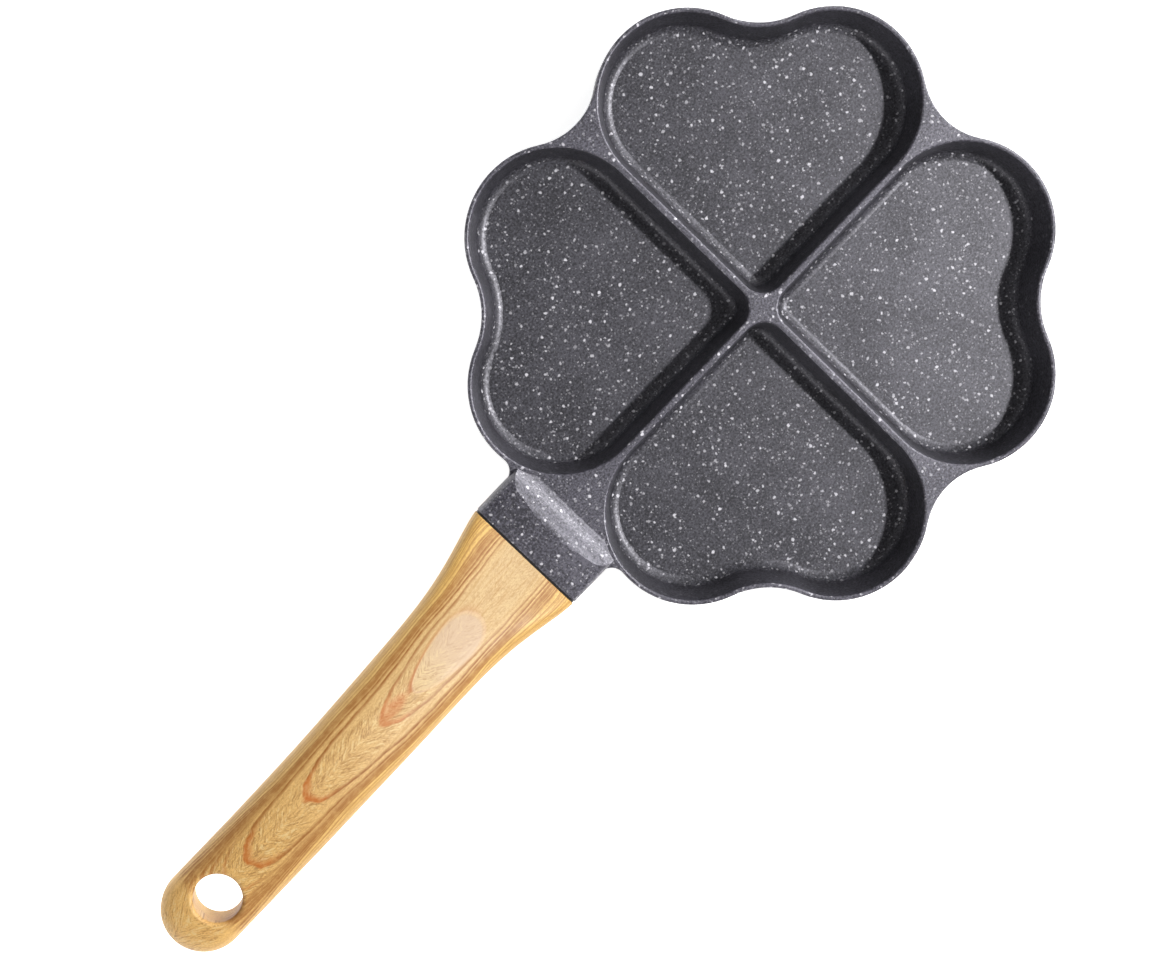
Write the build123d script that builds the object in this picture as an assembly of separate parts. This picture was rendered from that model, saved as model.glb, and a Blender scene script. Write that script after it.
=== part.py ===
from build123d import *
from math import atan, atan2, cos, degrees, hypot, pi, radians, sin, sqrt, tan
import os

# Heart pancake pan: a die-cast aluminium pan with four heart-shaped wells and a screwed-on handle.
# Frame: millimetres, +Z up, origin at the centre of the base, handle along +X.
# The four dividers lie along the X and Y axes, and the hearts point at the centre.

# Driving dimensions of the casting, in plan at the rim
pan_width = 194.6
lobe_radius = 31.5
rim_thickness = 1.5
divider_thickness = 2.2
notch_radius = 28.8
valley_radius = 24.3
tip_radius = 8.0

# Driving dimensions of the casting, in section
rim_height = 20.0
well_depth = 16.0
outer_draft = 3.0
well_draft = 11.0
well_floor_shift = 0.6
floor_fillet = 3.5
base_fillet = 2.5
rim_rounding = 0.65

# Pockets cored from below under the three plain webs
web_thickness = 3.5
web_side_wall = 2.5
web_outer_wall = 3.5
web_pocket_draft = 2.0
web_pocket_corner = 1.0

# Shank, the casting's short arm that carries the handle
shank_half_width = 22.6
shank_half_height = 6.5
shank_squareness = 5.0
shank_rise = 5.2
shank_root_fillet = 5.0
shank_root_thickness = 4.0
root_setback = 0.2
web_ledge = 6.79
ramp_length = 5.38
shank_top_length = 16.0
ramp_foot_radius = 3.0
ramp_top_radius = 9.6
shank_pocket_length = 12.0
shank_pocket_wall = 4.0
shank_pocket_rib = 3.0
shank_pocket_depth = 6.5
shank_pocket_corner = 2.0

# Joint between shank and handle
gasket_thickness = 0.8
gasket_inset = 0.35
tang_width = 22.0
tang_thickness = 5.0
tang_length = 32.0
tang_corner = 5.0
tang_lift = 1.2
socket_clearance = 0.25
socket_end_clearance = 1.0

# Handle
grip_length = 153.1
grip_rise = 30.8
grip_rise_share = 0.85
grip_front_rounding = 0.6
hang_hole_radius = 8.0
hang_hole_setback = 6.7
hang_hole_rounding = 1.2
# Stations along the handle: share of its length, half width, half height, squareness.
# The last one runs on straight to the round end.
grip_stations = [
    (0.00, shank_half_width, shank_half_height, shank_squareness),
    (0.12, 18.6, 7.8, 3.9),
    (0.25, 15.9, 9.1, 2.9),
    (0.38, 15.2, 9.53, 2.8),
    (0.52, 14.72, 9.57, 2.8),
    (0.66, 14.36, 9.37, 2.8),
    (0.78, 14.23, 9.01, 2.8),
    (0.86, 14.2, 8.8, 2.8),
]

# Handle screw and its washers, in line with the tang
screw_setback = 22.0
screw_radius = 2.0
screw_clearance = 0.3
thread_clearance = 0.05
screw_engagement = 4.4
head_radius = 3.8
head_height = 2.4
head_rounding = 1.4
screw_point = 0.5
cross_length = 4.2
cross_width = 0.9
cross_depth = 1.4
flat_washer_radius = 4.2
flat_washer_thickness = 0.6
spring_washer_radius = 3.5
spring_washer_thickness = 1.0
spring_washer_gap = 0.8
recess_clearance = 0.4
seat_wall = 2.0

# Worked out from the driving dimensions
well_lobe_radius = lobe_radius - rim_thickness
lobe_x = pan_width / 2 - lobe_radius
lobe_y = well_lobe_radius + divider_thickness / 2
reach = lobe_radius + notch_radius
lobe_middle = (lobe_x + lobe_y) / 2
notch_centre = lobe_middle + sqrt(reach**2 / 2 - (lobe_x - lobe_y) ** 2 / 4)
notch_bearing = degrees(atan2(notch_centre - lobe_y, notch_centre - lobe_x))
valley_centre = lobe_x + sqrt((lobe_radius + valley_radius) ** 2 - lobe_y**2)
valley_bearing = degrees(atan2(-lobe_y, valley_centre - lobe_x))
valley_x = valley_centre - valley_radius
ramp_start = valley_x + web_ledge
joint_x = ramp_start + ramp_length + shank_top_length
shank_end = joint_x - gasket_thickness
shank_z = rim_height + shank_rise - shank_half_height
ramp_slope = atan2(shank_rise, ramp_length)
ramp_foot = ramp_start - ramp_foot_radius * tan(ramp_slope / 2)
tang_angle = degrees(atan(grip_rise * pi / 2 / (grip_length * grip_rise_share)))
tang_frame = Pos(joint_x, 0, shank_z) * Rot(0, -tang_angle, 0) * Pos(0, 0, tang_lift)
grip_end_x = joint_x + grip_length
grip_end_z = shank_z + grip_rise
socket_half = tang_thickness / 2 + socket_clearance
seat_z = -socket_half - seat_wall


def clover_face(inset):
    """The pan's outline, drawn in from the rim by inset: four lobe pairs, notches and valleys."""
    lobe = lobe_radius - inset
    notch = notch_radius + inset
    valley = valley_radius + inset
    lobe_sweep = notch_bearing - valley_bearing
    quarter = [
        CenterArc((lobe_x, lobe_y), lobe, valley_bearing, lobe_sweep),
        CenterArc((notch_centre, notch_centre), notch, notch_bearing + 180, 90 - 2 * notch_bearing),
        CenterArc((lobe_y, lobe_x), lobe, 90 - notch_bearing, lobe_sweep),
        CenterArc((0, valley_centre), valley, 270 - valley_bearing, 2 * valley_bearing),
    ]
    edges = [Rot(0, 0, 90 * turn) * edge for turn in range(4) for edge in quarter]
    return make_face(edges)


def heart_face(inset):
    """One well's outline in the first quadrant, drawn in from its opening by inset."""
    side = divider_thickness / 2 + inset
    lobe = well_lobe_radius - inset
    notch = notch_radius + rim_thickness + inset
    tip = divider_thickness / 2 + tip_radius
    lobe_sweep = 90 + notch_bearing
    edges = [
        Line((tip, side), (lobe_x, side)),
        CenterArc((lobe_x, lobe_y), lobe, -90, lobe_sweep),
        CenterArc((notch_centre, notch_centre), notch, notch_bearing + 180, 90 - 2 * notch_bearing),
        CenterArc((lobe_y, lobe_x), lobe, 90 - notch_bearing, lobe_sweep),
        Line((side, lobe_x), (side, tip)),
        CenterArc((tip, tip), tip_radius - inset, 180, 90),
    ]
    return make_face(edges)


def pan_shell():
    """The solid outside of the pan below the rim, with its draft, rounded rim and rounded base."""
    foot = rim_height * tan(radians(outer_draft))
    shell = loft([clover_face(foot), Pos(0, 0, rim_height) * clover_face(0)], ruled=True)
    shell = fillet(shell.faces().sort_by(Axis.Z)[0].edges(), base_fillet)
    return shell


def well_space():
    """The space inside one well: its floor is drawn in by the draft and shifted to the centre."""
    floor_z = rim_height - well_depth
    floor_inset = well_depth * tan(radians(well_draft))
    shift = well_floor_shift / sqrt(2)
    floor = Pos(-shift, -shift, floor_z) * heart_face(floor_inset)
    mouth = Pos(0, 0, rim_height) * heart_face(0)
    space = loft([floor, mouth], ruled=True)
    space = fillet(space.faces().sort_by(Axis.Z)[0].edges(), floor_fillet)
    return space + extrude(mouth, shank_rise)


def superellipse_half(half_width, half_height, squareness, segments=10):
    """Right half of a superellipse, as a spline from its lowest to its highest point."""
    points = []
    for step in range(segments + 1):
        turn = radians(-90 + 180 * step / segments)
        bearing = atan2(half_height * sin(turn), half_width * cos(turn))
        across = abs(cos(bearing)) / half_width
        up = abs(sin(bearing)) / half_height
        size = (across**squareness + up**squareness) ** (-1 / squareness)
        points.append((size * cos(bearing), size * sin(bearing)))
    points[0] = (0, -half_height)
    points[-1] = (0, half_height)
    return Spline(*points, tangents=[(1, 0), (-1, 0)])


def section_face(half_width, half_height, squareness):
    """A whole cross-section of the shank or handle, in its own plane."""
    half = superellipse_half(half_width, half_height, squareness)
    return make_face([half, mirror(half, about=Plane.YZ)])


def upright(x, z):
    """A plane across the handle, with its own x along Y and its own y along Z."""
    return Plane(origin=(x, 0, z), x_dir=(0, 1, 0), z_dir=(1, 0, 0))


def grip_z(share):
    """Height of the handle's middle line: a quarter sine over the rising share of its length, then level."""
    return shank_z + grip_rise * sin(min(share / grip_rise_share, 1) * pi / 2)


def root_face(inset):
    """The shank root's outline with its concave corners against the two lobes, drawn in by inset."""
    lobe = lobe_radius - inset
    corner_radius = shank_root_fillet + inset
    side = shank_half_width - root_setback - inset
    corner_y = side + corner_radius
    corner_x = lobe_x + sqrt((lobe + corner_radius) ** 2 - (lobe_y - corner_y) ** 2)
    bearing = degrees(atan2(lobe_y - corner_y, lobe_x - corner_x)) % 360
    corner = CenterArc((corner_x, corner_y), corner_radius, bearing, 270 - bearing)
    touch = corner @ 0
    half = [
        Line((lobe_x, 0), (lobe_x, touch.Y)),
        Line((lobe_x, touch.Y), touch),
        corner,
        Line(corner @ 1, (corner_x, 0)),
    ]
    return make_face(half + [mirror(edge, about=Plane.XZ) for edge in half])


def shank_root():
    """The flat root at rim level between the two lobes, with the same draft as the shell."""
    foot = shank_root_thickness * tan(radians(outer_draft))
    lower = Pos(0, 0, rim_height - shank_root_thickness) * root_face(foot)
    return loft([lower, Pos(0, 0, rim_height) * root_face(0)], ruled=True)


def shank_side_view():
    """The shank from the side, in its own plane: a ramp with a tight foot and a round top, then the flat top."""
    top = rim_height + shank_rise
    low = rim_height - 2 * shank_half_height
    outer = shank_end + 1
    corners = [
        (lobe_x, rim_height),
        (ramp_start, rim_height),
        (ramp_start + ramp_length, top),
        (outer, top),
        (outer, low),
        (lobe_x, low),
    ]
    view = make_face(Polyline(*corners, close=True))
    view = fillet(view.vertices().sort_by_distance(corners[1])[0], ramp_foot_radius)
    return fillet(view.vertices().sort_by_distance(corners[2])[0], ramp_top_radius)


def shank_block():
    """The shank's full section, cut to the ramp that climbs from the rim to its flat top."""
    section = upright(shank_end, shank_z) * section_face(shank_half_width, shank_half_height, shank_squareness)
    block = extrude(section, ramp_foot - shank_end)
    block &= extrude(Plane.XZ * shank_side_view(), shank_half_width * 2, both=True)
    for lobe in (lobe_y, -lobe_y):
        block -= Pos(lobe_x, lobe, rim_height) * extrude(Circle(lobe_radius), shank_rise + 1)
        block -= Pos(lobe_x, lobe, 0) * extrude(Circle(lobe_radius - rim_thickness / 2), rim_height)
    return block


def web_pocket():
    """The pocket cored from below under the web on the +X side, between two lobes and the valley."""
    lobe = well_lobe_radius + web_side_wall
    inner_x = lobe_x + sqrt(lobe**2 - lobe_y**2)
    length = valley_x - inner_x + 1
    plan = Pos(inner_x + length / 2, 0) * Rectangle(length, 2 * lobe)
    plan -= Pos(valley_centre, 0) * Circle(valley_radius + web_outer_wall)
    plan -= Pos(lobe_x, lobe_y) * Circle(lobe)
    plan -= Pos(lobe_x, -lobe_y) * Circle(lobe)
    plan = fillet(plan.vertices(), web_pocket_corner)
    return extrude(plan, rim_height - web_thickness, taper=web_pocket_draft)


def shank_pockets():
    """Two pockets cored into the shank from below, with a rib between them."""
    width = shank_half_width - shank_pocket_wall - shank_pocket_rib / 2
    middle_x = shank_end - shank_pocket_wall - shank_pocket_length / 2
    plan = Rectangle(shank_pocket_length, width)
    plan = fillet(plan.vertices(), shank_pocket_corner)
    pocket = extrude(plan, shank_pocket_depth, taper=web_pocket_draft)
    bottom = shank_z - shank_half_height
    side = (width + shank_pocket_rib) / 2
    return Pos(middle_x, side, bottom) * pocket + Pos(middle_x, -side, bottom) * pocket


def tang(clearance, end_clearance):
    """The tang in its own sloping frame, or with clearances the socket that it slides into."""
    start = -shank_pocket_wall / 2
    length = tang_length + end_clearance - start
    width = tang_width + 2 * clearance
    bar = Pos(start + length / 2, 0, 0) * Box(length, width, tang_thickness + 2 * clearance)
    ends = bar.edges().filter_by(Axis.Z).sort_by(Axis.X)[-2:]
    return fillet(ends, tang_corner)


def rounded_rim(casting):
    """The casting with the upper edges of its rim, webs and wells rounded over."""
    top = casting.faces().filter_by(Axis.Z).sort_by(Axis.Z)[-1]
    edges = [edge for edge in top.edges() if edge.geom_type == GeomType.CIRCLE or abs(edge.center().X) < lobe_x]
    return fillet(edges, rim_rounding)


def pan_casting():
    """The whole casting: shell, wells, rounded rim, shank, cored pockets and drilled tang."""
    casting = pan_shell() + shank_root()
    for turn in range(4):
        casting -= Rot(0, 0, 90 * turn) * well_space()
    casting = rounded_rim(casting) + shank_block()
    for turn in range(1, 4):
        casting -= Rot(0, 0, 90 * turn) * web_pocket()
    casting -= shank_pockets()
    casting += tang_frame * tang(0, 0)
    drill = Cylinder(screw_radius + thread_clearance, 2 * tang_thickness)
    return casting - tang_frame * Pos(screw_setback, 0, 0) * drill


def handle_gasket():
    """The thin heat-proof plate between shank and handle, with a window for the tang."""
    outline = section_face(
        shank_half_width - gasket_inset,
        shank_half_height - gasket_inset,
        shank_squareness,
    )
    plate = extrude(upright(shank_end, shank_z) * outline, gasket_thickness)
    return plate - tang_frame * tang(socket_clearance, 0)


def grip_body():
    """The handle's outside: a loft along its rising middle line, a straight end piece and a half-round end."""
    sections = []
    for share, half_width, half_height, squareness in grip_stations:
        place = upright(joint_x + share * grip_length, grip_z(share))
        sections.append(place * section_face(half_width, half_height, squareness))
    share, half_width, half_height, squareness = grip_stations[-1]
    straight = extrude(sections[-1], (1 - share) * grip_length)
    half = superellipse_half(half_width, half_height, squareness)
    half_face = make_face([half, Line((0, half_height), (0, -half_height))])
    turning_axis = Axis((grip_end_x, 0, grip_end_z), (0, 0, -1))
    end = revolve(upright(grip_end_x, grip_end_z) * half_face, turning_axis, 180)
    return loft(sections) + straight + end


def handle_grip():
    """The moulded handle with its rounded front edge, hanging hole, tang socket and screw recess."""
    grip = grip_body()
    grip = fillet(grip.faces().sort_by(Axis.X)[0].edges(), grip_front_rounding)
    hole = Cylinder(hang_hole_radius, 4 * grip_stations[-1][2])
    grip -= Pos(grip_end_x - hang_hole_setback, 0, grip_end_z) * hole
    wall_edges = grip.faces().filter_by(GeomType.CYLINDER).edges()
    mouths = [edge for edge in wall_edges if edge.geom_type != GeomType.LINE]
    grip = fillet(mouths, hang_hole_rounding)
    grip -= tang_frame * tang(socket_clearance, socket_end_clearance)
    shaft = Cylinder(screw_radius + screw_clearance, seat_wall + 2, align=(Align.CENTER, Align.CENTER, Align.MIN))
    recess = Cylinder(flat_washer_radius + recess_clearance, 12, align=(Align.CENTER, Align.CENTER, Align.MAX))
    return grip - tang_frame * Pos(screw_setback, 0, seat_z) * (shaft + recess)


def ring(outer_radius, inner_radius, thickness):
    """A flat ring whose upper face is at the origin."""
    return extrude(Circle(outer_radius) - Circle(inner_radius), -thickness)


def flat_washer():
    """The flat washer against the seat of the handle's recess."""
    washer = ring(flat_washer_radius, screw_radius + screw_clearance, flat_washer_thickness)
    return tang_frame * Pos(screw_setback, 0, seat_z) * washer


def spring_washer():
    """The split spring washer, pressed flat between the flat washer and the screw's head."""
    washer = ring(spring_washer_radius, screw_radius + screw_clearance / 2, spring_washer_thickness)
    slit = Pos(spring_washer_radius, 0, -spring_washer_thickness / 2) * Rot(20, 0, 0) * Box(
        spring_washer_radius, spring_washer_gap, 3 * spring_washer_thickness
    )
    return tang_frame * Pos(screw_setback, 0, seat_z - flat_washer_thickness) * (washer - slit)


def handle_screw():
    """The cross-recessed pan-head screw that holds handle, gasket and tang together."""
    under_head = seat_z - flat_washer_thickness - spring_washer_thickness
    shank_length = screw_engagement - tang_thickness / 2 - under_head
    head = extrude(Circle(head_radius), -head_height)
    head = fillet(head.edges().sort_by(Axis.Z)[0], head_rounding)
    cross = Box(cross_length, cross_width, 2 * cross_depth) + Box(cross_width, cross_length, 2 * cross_depth)
    head -= Pos(0, 0, -head_height) * cross
    shank = extrude(Circle(screw_radius), shank_length)
    shank = chamfer(shank.edges().sort_by(Axis.Z)[-1], screw_point)
    return tang_frame * Pos(screw_setback, 0, under_head) * (head + shank)


os.makedirs("parts", exist_ok=True)
nodes = {
    "pan_casting": pan_casting(),
    "handle_gasket": handle_gasket(),
    "handle_grip": handle_grip(),
    "handle_screw": handle_screw(),
    "spring_washer": spring_washer(),
    "flat_washer": flat_washer(),
}
for name, shape in nodes.items():
    export_step(shape, f"parts/{name}.step")
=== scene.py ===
import math

import bpy
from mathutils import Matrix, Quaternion, Vector

# Heart pancake pan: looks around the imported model. Metres, +Z up, handle along +X.
# The materials measure in millimetres, and mm turns a length in millimetres into metres.
mm = 0.001

# Camera, solved from the photograph
camera_place = (0.0742, -0.11145, 0.8954)
camera_target = (0.0837, -0.00385, 0.0200)
camera_roll = 138.8
camera_lens = 81.1
sensor_width = 36.0

# Lights: bearing in degrees from +X towards +Y, height above the floor in degrees, distance, size and power.
# The key light shines from the picture's right and draws the wells' shadows. The low window lights the ramp
# before the handle and the walls that face -X, and the side fill lights the walls in the key's shadow.
lights = {
    "key_light": (141.5, 53.3, 1.6, 0.09, 23.5),
    "key_halo": (146.0, 36.0, 1.7, 1.1, 7.0),
    "low_window": (173.0, 4.0, 1.5, 0.35, 10.5),
    "high_window": (185.0, 20.0, 1.6, 1.0, 9.0),
    "side_fill": (12.0, 14.0, 1.8, 1.4, 15.0),
}

# Room and floor: the light falls off from the horizon to zenith_height, the upward part of the direction
zenith_strength = 0.20
horizon_strength = 0.95
zenith_height = 0.7
floor_glow = 0.80
floor_size = 6

# Handle, in millimetres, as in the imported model
joint_x = 116.0
joint_z = 18.7
grip_length = 153.1
grip_rise = 30.8
grip_rise_share = 0.85

# Rough half width and half height along the handle, by which the wood figure wraps round it
flare_half_width = 7.2
flare_length = 24.0
plain_half_width = 15.5
width_taper = 0.008
thickest_half_height = 9.5
thickest_along = 72.0
thinning = 1.2
thinning_length = 75.0

# Coating: display colours of its dark and light grains, below the rim and at the rim's level. The rim's level
# has a lighter copy of the same grains: painted light on the top faces, which stand clear of the wells'
# shade.
deep_dark_grain = (18, 18, 21)
deep_light_grain = (54, 53, 60)
rim_dark_grain_painted_lighter = (38, 37, 42)
rim_light_grain_painted_lighter = (80, 78, 88)
painted_rim_light_from_z = 18.6
painted_rim_light_full_z = 20.0
speck_tone = (214, 212, 218)

# Specks of the coating: size of the cell that holds one, radius, dimmest and brightest
speck_kinds = [
    (3.1, 0.68, 0.25, 0.90),
    (2.1, 0.48, 0.10, 0.65),
    (1.1, 0.36, 0.00, 0.25),
]

# Wood figure, in millimetres along the handle from the joint and across it.
# The grain's field grows along the handle and with the spread from its middle line: by a small point,
# a square and a fourth power up to arch_edge, and straight beyond it.
# The lines fade towards the handle's end, where they would all meet in one point.
arch_point = 10.0
arch_square = 70.7
arch_fourth = 1639.0
arch_edge = 0.45
side_slope = 661.0
turn_per_half_width = 0.64
side_ring_period = 38.0
eye_along = 39.5
eye_across = 0.7
eye_half_length = 15.7
eye_half_width = 6.3
flame_along = 63.5
flame_across = -0.6
flame_half_length = 6.5
flame_half_width = 2.6
pore_middle = -1.2
pore_slant = 1.5
pore_rate = 1.15
tip_fade_start = 148.0
tip_fade_end = 152.5

# Growth rings: where each arch closes along the handle, its thickness there and its strength
growth_rings = [
    (69.5, 3.6, 0.75),
    (104.3, 3.6, 0.95),
    (131.0, 3.2, 0.90),
    (141.0, 0.8, 0.45),
    (147.0, 0.8, 0.60),
    (152.0, 0.9, 0.75),
    (156.5, 0.9, 0.70),
    (160.5, 0.9, 0.75),
    (164.0, 0.9, 0.80),
    (176.0, 0.9, 0.80),
    (192.0, 0.9, 0.75),
]

# Wood's display colours. From near_joint to near_hole the tone runs from darker to lighter along the handle.
# This is partly the print's own change of hue, and partly painted shade near the joint, which tilts towards
# the lamps, and painted light towards the hole.
wood_tones = {
    "near_joint": (187, 159, 112),
    "near_hole": (207, 165, 98),
    "side": (208, 170, 96),
    "streak": (154, 110, 54),
    "fibre": (138, 100, 56),
    "mottle": (150, 112, 60),
    "eye_start": (180, 155, 130),
    "eye_end": (186, 160, 118),
    "eye_border": (196, 164, 136),
    "eye_line": (158, 92, 38),
    "dark_pore": (138, 98, 50),
    "pale_pore": (210, 186, 134),
    "ring_leg": (130, 74, 20),
    "ring_apex": (168, 90, 26),
}


class Shader:
    """A material's node tree, with short calls for the nodes that the materials here use."""

    def __init__(self, name):
        self.material = bpy.data.materials.new(name)
        self.material.use_nodes = True
        self.tree = self.material.node_tree
        self.tree.nodes.clear()
        output = self.tree.nodes.new("ShaderNodeOutputMaterial")
        self.surface = self.tree.nodes.new("ShaderNodeBsdfPrincipled")
        self.tree.links.new(self.surface.outputs[0], output.inputs["Surface"])

    def put(self, socket, value):
        """Sets a socket to a number, a colour or another node's output."""
        if isinstance(value, bpy.types.NodeSocket):
            self.tree.links.new(value, socket)
        else:
            socket.default_value = value

    def set(self, name, value):
        self.put(self.surface.inputs[name], value)

    def math(self, operation, first, second=0.0):
        node = self.tree.nodes.new("ShaderNodeMath")
        node.operation = operation
        for socket, value in zip(node.inputs, (first, second)):
            self.put(socket, value)
        return node.outputs[0]

    def add(self, first, *others):
        total = first
        for other in others:
            total = self.math("ADD", total, other)
        return total

    def times(self, first, *others):
        product = first
        for other in others:
            product = self.math("MULTIPLY", product, other)
        return product

    def subtract(self, first, second):
        return self.math("SUBTRACT", first, second)

    def divide(self, first, second):
        return self.math("DIVIDE", first, second)

    def squared(self, value):
        return self.math("POWER", value, 2.0)

    def absolute(self, value):
        return self.math("ABSOLUTE", value)

    def smaller(self, first, second):
        return self.math("MINIMUM", first, second)

    def larger(self, first, second):
        return self.math("MAXIMUM", first, second)

    def smooth(self, value, low, high, new_low=0.0, new_high=1.0):
        """A smooth step of value between low and high."""
        node = self.tree.nodes.new("ShaderNodeMapRange")
        node.interpolation_type = "SMOOTHSTEP"
        names = ("Value", "From Min", "From Max", "To Min", "To Max")
        for name, number in zip(names, (value, low, high, new_low, new_high)):
            self.put(node.inputs[name], number)
        return node.outputs[0]

    def combine(self, x, y, z):
        node = self.tree.nodes.new("ShaderNodeCombineXYZ")
        for socket, value in zip(node.inputs, (x, y, z)):
            self.put(socket, value)
        return node.outputs[0]

    def split(self, vector):
        """The three parts of a vector."""
        node = self.tree.nodes.new("ShaderNodeSeparateXYZ")
        self.put(node.inputs[0], vector)
        return tuple(node.outputs)

    def position(self):
        """The object's own coordinates in millimetres."""
        place = self.tree.nodes.new("ShaderNodeTexCoord").outputs["Object"]
        scaled = self.tree.nodes.new("ShaderNodeVectorMath")
        scaled.operation = "SCALE"
        self.put(scaled.inputs[0], place)
        scaled.inputs["Scale"].default_value = 1 / mm
        return scaled.outputs[0]

    def levelness(self):
        """How level the surface is: 1 on a floor or underneath, 0 on an upright wall."""
        normal = self.tree.nodes.new("ShaderNodeTexCoord").outputs["Normal"]
        return self.absolute(self.split(normal)[2])

    def noise(self, vector, scale, detail=2.0, roughness=0.5, dimensions="3D"):
        node = self.tree.nodes.new("ShaderNodeTexNoise")
        node.noise_dimensions = dimensions
        self.put(node.inputs["W" if dimensions == "1D" else "Vector"], vector)
        node.inputs["Scale"].default_value = scale
        node.inputs["Detail"].default_value = detail
        node.inputs["Roughness"].default_value = roughness
        return node.outputs["Fac"]

    def sway(self, vector, scale, detail, amount):
        """Noise that sways about 0, by up to half of amount to each side."""
        return self.times(self.subtract(self.noise(vector, scale, detail), 0.5), amount)

    def shifted(self, vector, scale, amount):
        """The vector, moved about by noise of that scale, by up to amount millimetres."""
        noise = self.tree.nodes.new("ShaderNodeTexNoise")
        self.put(noise.inputs["Vector"], vector)
        noise.inputs["Scale"].default_value = scale
        centred = self.tree.nodes.new("ShaderNodeVectorMath")
        centred.operation = "MULTIPLY_ADD"
        self.put(centred.inputs[0], noise.outputs["Color"])
        centred.inputs[1].default_value = (2 * amount,) * 3
        centred.inputs[2].default_value = (-amount,) * 3
        total = self.tree.nodes.new("ShaderNodeVectorMath")
        self.put(total.inputs[0], vector)
        self.put(total.inputs[1], centred.outputs[0])
        return total.outputs[0]

    def specks(self, vector, cell, radius, dimmest, brightest):
        """Round specks of about that radius, one in each cell of that size, each with its own brightness."""
        node = self.tree.nodes.new("ShaderNodeTexVoronoi")
        self.put(node.inputs["Vector"], vector)
        node.inputs["Scale"].default_value = 1 / cell
        parts = self.tree.nodes.new("ShaderNodeSeparateColor")
        self.put(parts.inputs[0], node.outputs["Color"])
        spot = self.smooth(node.outputs["Distance"], 0.5 * radius / cell, radius / cell, 1.0, 0.0)
        return self.times(spot, self.smooth(parts.outputs[0], 0.0, 1.0, dimmest, brightest))

    def mix(self, share, first, second):
        node = self.tree.nodes.new("ShaderNodeMix")
        node.data_type = "RGBA"
        for socket, value in zip((node.inputs[0], node.inputs[6], node.inputs[7]), (share, first, second)):
            self.put(socket, value)
        return node.outputs[2]

    def bump(self, height, distance, strength=1.0):
        node = self.tree.nodes.new("ShaderNodeBump")
        self.put(node.inputs["Height"], height)
        node.inputs["Distance"].default_value = distance
        node.inputs["Strength"].default_value = strength
        self.set("Normal", node.outputs[0])


def rgb(red, green, blue):
    """A display colour of 0 to 255 as the linear colour that the nodes take."""
    linear = []
    for part in (red, green, blue):
        share = part / 255
        linear.append(share / 12.92 if share <= 0.04045 else ((share + 0.055) / 1.055) ** 2.4)
    return (*linear, 1.0)


def grey(value):
    return rgb(value, value, value)


def speckled_coating():
    """Dark grey stone-look coating: light specks in three sizes, thick on floors and thin on walls, with
    painted light on the faces at the rim's level.
    """
    s = Shader("speckled_coating")
    place = s.position()
    z = s.split(place)[2]
    level = s.levelness()
    cloud = s.noise(place, 0.05, 3.0)
    mottle = s.noise(place, 1.3, 2.0, 0.6)
    grain = s.noise(place, 3.0, 2.0, 0.7)
    tone = s.add(s.times(cloud, 0.2), s.times(mottle, 0.6), s.times(grain, 0.2))
    grains = s.smooth(tone, 0.38, 0.62)
    deep = s.mix(grains, rgb(*deep_dark_grain), rgb(*deep_light_grain))
    # Painted light: the faces at the rim's level get a lighter copy of the same grains, blended in over the
    # top 1.4 mm.
    rim = s.mix(grains, rgb(*rim_dark_grain_painted_lighter), rgb(*rim_light_grain_painted_lighter))
    base = s.mix(s.smooth(z, painted_rim_light_from_z, painted_rim_light_full_z), deep, rim)

    spread_out = s.shifted(place, 0.9, 0.6)
    spots = 0.0
    for cell, radius, dimmest, brightest in speck_kinds:
        spots = s.larger(spots, s.specks(spread_out, cell, radius, dimmest, brightest))
    shown = s.times(spots, s.smooth(level, 0.25, 0.75, 0.12, 1.0))

    s.set("Base Color", s.mix(shown, base, rgb(*speck_tone)))
    s.set("IOR", 1.72)
    s.set("Specular IOR Level", s.smooth(tone, 0.36, 0.64, 0.36, 0.64))
    s.set("Specular Tint", rgb(248, 246, 255))
    slope = s.times(s.smooth(level, 0.80, 0.99, 0.10, 0.0), s.smooth(z, 16.0, 19.0, 1.0, 0.0))
    s.set("Roughness", s.add(s.smooth(grain, 0.3, 0.7, 0.38, 0.46), slope))
    s.bump(s.add(mottle, s.times(shown, 0.2)), 0.03 * mm)
    return s.material


def gasket_rubber():
    """Black heat-proof rubber with a fine grain."""
    s = Shader("gasket_rubber")
    grain = s.noise(s.position(), 3.0)
    s.set("Base Color", s.mix(grain, rgb(14, 13, 12), rgb(34, 30, 26)))
    s.set("Roughness", 0.75)
    s.bump(grain, 0.04 * mm)
    return s.material


def wood_turn(s, along, y, z):
    """Half the handle's width, and the turn round its middle line.

    The turn is 0 on top, 1 at the +Y side and -1 at the -Y side.
    """
    share = s.smaller(s.divide(along, grip_length * grip_rise_share), 1.0)
    middle_z = s.add(s.times(s.math("SINE", s.times(share, math.pi / 2)), grip_rise), joint_z)
    flare = s.math("EXPONENT", s.times(s.squared(s.divide(along, flare_length)), -1.0))
    tapered = s.subtract(plain_half_width, s.times(along, width_taper))
    half_width = s.add(s.times(flare, flare_half_width), tapered)
    thinner = s.times(s.squared(s.divide(s.subtract(along, thickest_along), thinning_length)), thinning)
    height = s.divide(s.subtract(z, middle_z), s.subtract(thickest_half_height, thinner))
    turn = s.divide(s.math("ARCTAN2", s.divide(y, half_width), height), math.pi / 2)
    return half_width, turn


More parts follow.
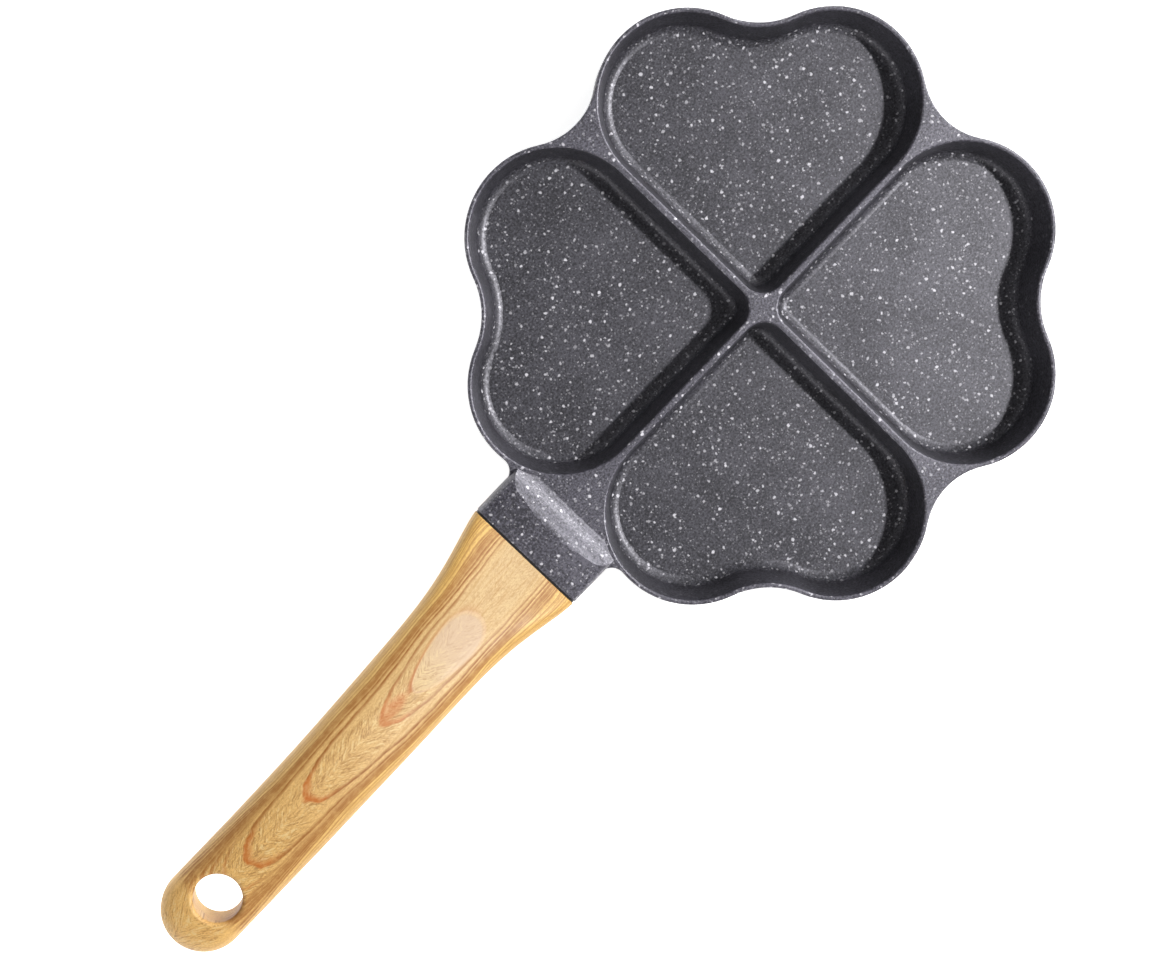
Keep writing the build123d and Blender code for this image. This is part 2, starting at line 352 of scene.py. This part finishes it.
def wood_field(s, along, half_width, turn, waver):
    """The grain's field, its rate per millimetre without the small point, and the spread."""
    near = s.smooth(along, 0.0, 50.0, 0.35, 0.0)
    far = s.smooth(along, 85.0, 165.0, 0.0, 0.5)
    spread = s.times(s.absolute(turn), s.subtract(s.add(near, 1.0), far))
    inner = s.smaller(spread, arch_edge)
    outer = s.larger(s.subtract(spread, arch_edge), 0.0)
    second = s.times(inner, inner)
    fourth = s.times(second, second)
    arch = s.add(s.times(inner, arch_point), s.times(second, arch_square), s.times(fourth, arch_fourth))
    field = s.add(along, arch, s.times(outer, side_slope), waver)
    slope = s.add(s.times(inner, 2 * arch_square), s.times(second, inner, 4 * arch_fourth))
    across = s.divide(s.times(slope, turn_per_half_width), half_width)
    rate = s.math("SQRT", s.add(s.squared(across), 1.0))
    return field, rate, spread


def growth_ring(s, field, rate, apex, value, thickness):
    """One ring of the figure: crisp on its outer side and soft on its inner side."""
    away = s.divide(s.subtract(field, value), rate)
    inside = s.smooth(away, s.subtract(-0.95, s.times(apex, thickness)), 0.0)
    outside = s.smooth(away, 0.0, s.add(s.times(apex, 0.25 * thickness), 0.30), 1.0, 0.0)
    return s.smaller(inside, outside)


def side_rings(s, field, spread):
    """The close rings along the handle's sides.

    Each darkens slowly and ends sharply, with its own strength.
    """
    warp = s.noise(field, 0.012, 3.0, 0.6, "1D")
    phase = s.add(s.divide(field, side_ring_period), s.times(warp, 6.0))
    share = s.math("FRACT", phase)
    node = s.tree.nodes.new("ShaderNodeTexWhiteNoise")
    node.noise_dimensions = "1D"
    s.put(node.inputs["W"], s.math("FLOOR", phase))
    strength = s.smooth(node.outputs["Value"], 0.0, 1.0, 0.30, 0.85)
    tooth = s.smaller(s.smooth(share, 0.45, 0.94), s.smooth(share, 0.94, 1.0, 1.0, 0.0))
    return s.times(tooth, strength, s.smooth(spread, 0.38, 0.50))


def wood_rings(s, along, y, field, rate, spread, apex):
    """How dark the rings are: the arches, the flame in the first arch's end, and the side rings."""
    ring = 0.0
    for value, thickness, strength in growth_rings:
        line = growth_ring(s, field, rate, apex, value, thickness)
        ring = s.larger(ring, s.times(line, strength))
    flame = s.add(
        s.squared(s.divide(s.subtract(along, flame_along), flame_half_length)),
        s.squared(s.divide(s.subtract(y, flame_across), flame_half_width)),
    )
    ring = s.larger(ring, s.smooth(flame, 0.2, 1.3, 0.65, 0.0))
    patchy = s.noise(s.combine(s.times(along, 0.35), s.times(y, 0.5), 9.0), 1.0)
    ring = s.times(ring, s.smooth(patchy, 0.30, 0.60, 0.7, 1.0))
    return s.larger(ring, side_rings(s, field, spread))


def wood_eye(s, along, y):
    """The pale egg-shaped eye near the gasket: its inside, its border and the dark line along its -Y side."""
    across = s.divide(s.subtract(y, eye_across), eye_half_width)
    ahead = s.divide(s.subtract(along, eye_along), eye_half_length)
    narrow = s.times(across, s.add(s.times(ahead, 0.35), 1.0))
    size = s.math("SQRT", s.add(s.times(ahead, ahead), s.times(narrow, narrow)))
    inside = s.smooth(size, 0.90, 1.02, 1.0, 0.0)
    border = s.times(s.smooth(size, 0.93, 1.0), s.smooth(size, 1.0, 1.07, 1.0, 0.0))
    lower = s.smooth(narrow, -0.2, 0.1, 1.0, 0.0)
    line = s.times(s.smooth(size, 0.98, 1.05), s.smooth(size, 1.05, 1.22, 1.0, 0.0), lower)
    return inside, border, s.times(line, s.smooth(ahead, -0.6, 1.0, 0.25, 1.0))


def wood_pores(s, along, y, waver, apex):
    """Feathered pores inside the arches, slanting away from a middle line: dark ones and pale ones."""
    wedge = s.add(along, s.times(s.absolute(s.subtract(y, pore_middle)), pore_slant))
    chevron = s.noise(s.combine(s.times(s.add(wedge, waver), pore_rate), s.times(y, 0.30), 0.0), 1.0)
    broken = s.noise(s.combine(s.times(along, pore_rate), s.times(y, pore_rate), 5.0), 1.0, 1.0)
    near_apex = s.times(s.smooth(apex, 0.10, 0.30), s.smooth(along, 34.0, 62.0, 0.30, 1.0))
    dark = s.times(s.smooth(chevron, 0.52, 0.60), s.smooth(broken, 0.36, 0.52), near_apex)
    pale = s.times(s.smooth(chevron, 0.38, 0.46, 1.0, 0.0), s.smooth(broken, 0.38, 0.54), near_apex)
    return dark, pale


def wood_print():
    """Honey-coloured wood figure: nested arches, an eye, feathered pores and straight sides."""
    s = Shader("wood_print")
    place = s.position()
    x, y, z = s.split(place)
    along = s.subtract(x, joint_x)
    half_width, turn = wood_turn(s, along, y, z)
    drift = s.times(s.smooth(along, 60.0, 100.0), 0.05)
    wander = s.sway(s.combine(s.times(along, 0.035), s.times(turn, 1.3), 0.0), 1.0, 2.0, 0.10)
    waver = s.sway(s.combine(along, y, 0.0), 0.11, 3.0, 8.0)
    field, rate, spread = wood_field(s, along, half_width, s.add(turn, drift, wander), waver)
    apex = s.divide(1.0, rate)
    ring = wood_rings(s, along, y, field, rate, spread, apex)
    inside, border, eye_line = wood_eye(s, along, y)
    dark_pores, pale_pores = wood_pores(s, along, y, waver, apex)
    streak = s.noise(s.combine(s.times(along, 0.10), s.times(turn, 34.0), 0.0), 1.0, 3.0)
    fibre = s.noise(s.combine(s.times(along, 0.9), s.times(turn, 80.0), 3.0), 1.0, 2.0, 0.65)
    mottle = s.noise(place, 1.5, 1.0)

    tones = {name: rgb(*display) for name, display in wood_tones.items()}
    eye_tone = s.mix(s.smooth(along, 34.0, 54.0), tones["eye_start"], tones["eye_end"])
    ring_tone = s.mix(s.smooth(apex, 0.12, 0.5), tones["ring_leg"], tones["ring_apex"])
    tip_fade = s.smooth(along, tip_fade_start, tip_fade_end, 1.0, 0.15)
    on_top = s.smooth(s.absolute(turn), 0.6, 0.8, 1.0, 0.0)
    layers = [
        (s.smooth(spread, 0.25, 0.7), tones["side"]),
        (s.times(s.smooth(streak, 0.42, 0.72, 0.0, 0.50), tip_fade), tones["streak"]),
        (s.times(s.smooth(fibre, 0.48, 0.68, 0.0, 0.42), tip_fade), tones["fibre"]),
        (s.smooth(mottle, 0.42, 0.62, 0.0, 0.22), tones["mottle"]),
        (s.times(inside, 0.75, on_top), eye_tone),
        (s.times(dark_pores, 0.65), tones["dark_pore"]),
        (s.times(pale_pores, 0.6), tones["pale_pore"]),
        (s.times(border, 0.35, on_top), tones["eye_border"]),
        (s.times(eye_line, 0.8, on_top), tones["eye_line"]),
        (s.times(ring, tip_fade), ring_tone),
    ]
    # Painted shade near the joint and painted light towards the hole, on top of the print's change of hue
    # along the handle.
    colour = s.mix(s.smooth(along, 0.0, 150.0), tones["near_joint"], tones["near_hole"])
    for share, tone in layers:
        colour = s.mix(share, colour, tone)

    s.set("Base Color", colour)
    s.set("Roughness", s.smooth(streak, 0.3, 0.7, 0.44, 0.54))
    s.set("Specular IOR Level", 0.4)
    s.bump(s.add(fibre, s.times(dark_pores, -0.5)), 0.02 * mm, 0.5)
    return s.material


def zinc_steel(name, shade):
    """Zinc-plated steel of about that grey, with a fine grain."""
    s = Shader(name)
    grain = s.noise(s.position(), 4.0, 3.0)
    s.set("Base Color", s.mix(grain, grey(shade - 22), grey(shade + 14)))
    s.set("Metallic", 1.0)
    s.set("Roughness", s.smooth(grain, 0.2, 0.8, 0.28, 0.42))
    s.bump(grain, 0.02 * mm, 0.5)
    return s.material


def dress(node, material):
    """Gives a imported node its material."""
    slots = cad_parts[node].data.materials
    slots.clear()
    slots.append(material)


def pale_floor():
    """The plain pale floor that the pan stands on."""
    s = Shader("pale_floor")
    s.set("Base Color", s.mix(s.noise(s.position(), 0.02), grey(246), grey(250)))
    s.set("Roughness", 0.9)
    s.set("Emission Color", grey(255))
    s.set("Emission Strength", floor_glow)
    bpy.ops.mesh.primitive_plane_add(size=floor_size, location=(0, 0, 0))
    floor = bpy.context.object
    floor.name = "floor"
    floor.data.materials.append(s.material)


def look_at(thing, place, target, roll=0.0):
    """Puts a camera or lamp at place, facing target, turned about its own view line by roll degrees."""
    view = (Vector(target) - Vector(place)).to_track_quat("-Z", "Y")
    thing.location = place
    thing.rotation_euler = (view @ Quaternion((0, 0, 1), math.radians(roll))).to_euler()


def add_camera():
    data = bpy.data.cameras.new("camera")
    data.lens = camera_lens
    data.sensor_width = sensor_width
    camera = bpy.data.objects.new("camera", data)
    bpy.context.scene.collection.objects.link(camera)
    look_at(camera, camera_place, camera_target, camera_roll)
    bpy.context.scene.camera = camera


def area_light(name, bearing, height, distance, size, power):
    """A soft square lamp in the direction of bearing and height, in degrees, facing the pan."""
    data = bpy.data.lights.new(name, "AREA")
    data.size = size
    data.energy = power
    lamp = bpy.data.objects.new(name, data)
    bpy.context.scene.collection.objects.link(lamp)
    level = math.cos(math.radians(height)) * distance
    place = (
        camera_target[0] + level * math.cos(math.radians(bearing)),
        camera_target[1] + level * math.sin(math.radians(bearing)),
        math.sin(math.radians(height)) * distance,
    )
    look_at(lamp, place, camera_target)


def add_world():
    """A white room, brighter towards its walls than overhead."""
    world = bpy.data.worlds.new("soft_light")
    world.use_nodes = True
    tree = world.node_tree
    background = tree.nodes["Background"]
    background.inputs["Color"].default_value = (1, 1, 1, 1)
    direction = tree.nodes.new("ShaderNodeTexCoord")
    parts = tree.nodes.new("ShaderNodeSeparateXYZ")
    strength = tree.nodes.new("ShaderNodeMapRange")
    strength.interpolation_type = "SMOOTHSTEP"
    strength.inputs["From Min"].default_value = 0.0
    strength.inputs["From Max"].default_value = zenith_height
    strength.inputs["To Min"].default_value = horizon_strength
    strength.inputs["To Max"].default_value = zenith_strength
    tree.links.new(direction.outputs["Generated"], parts.inputs[0])
    tree.links.new(parts.outputs[2], strength.inputs["Value"])
    tree.links.new(strength.outputs[0], background.inputs["Strength"])
    bpy.context.scene.world = world


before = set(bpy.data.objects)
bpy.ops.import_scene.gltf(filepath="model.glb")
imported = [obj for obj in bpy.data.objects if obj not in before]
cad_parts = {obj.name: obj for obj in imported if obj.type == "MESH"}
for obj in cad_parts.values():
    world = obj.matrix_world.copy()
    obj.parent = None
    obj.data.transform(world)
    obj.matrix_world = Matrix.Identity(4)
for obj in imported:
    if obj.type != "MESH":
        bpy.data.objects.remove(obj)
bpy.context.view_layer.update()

dress("pan_casting", speckled_coating())
dress("handle_gasket", gasket_rubber())
dress("handle_grip", wood_print())
dress("handle_screw", zinc_steel("zinc_screw", 190))
washer_steel = zinc_steel("zinc_washer", 176)
dress("spring_washer", washer_steel)
dress("flat_washer", washer_steel)

pale_floor()
add_world()
for name, light in lights.items():
    area_light(name, *light)
add_camera()
bpy.context.scene.view_settings.view_transform = "Standard"
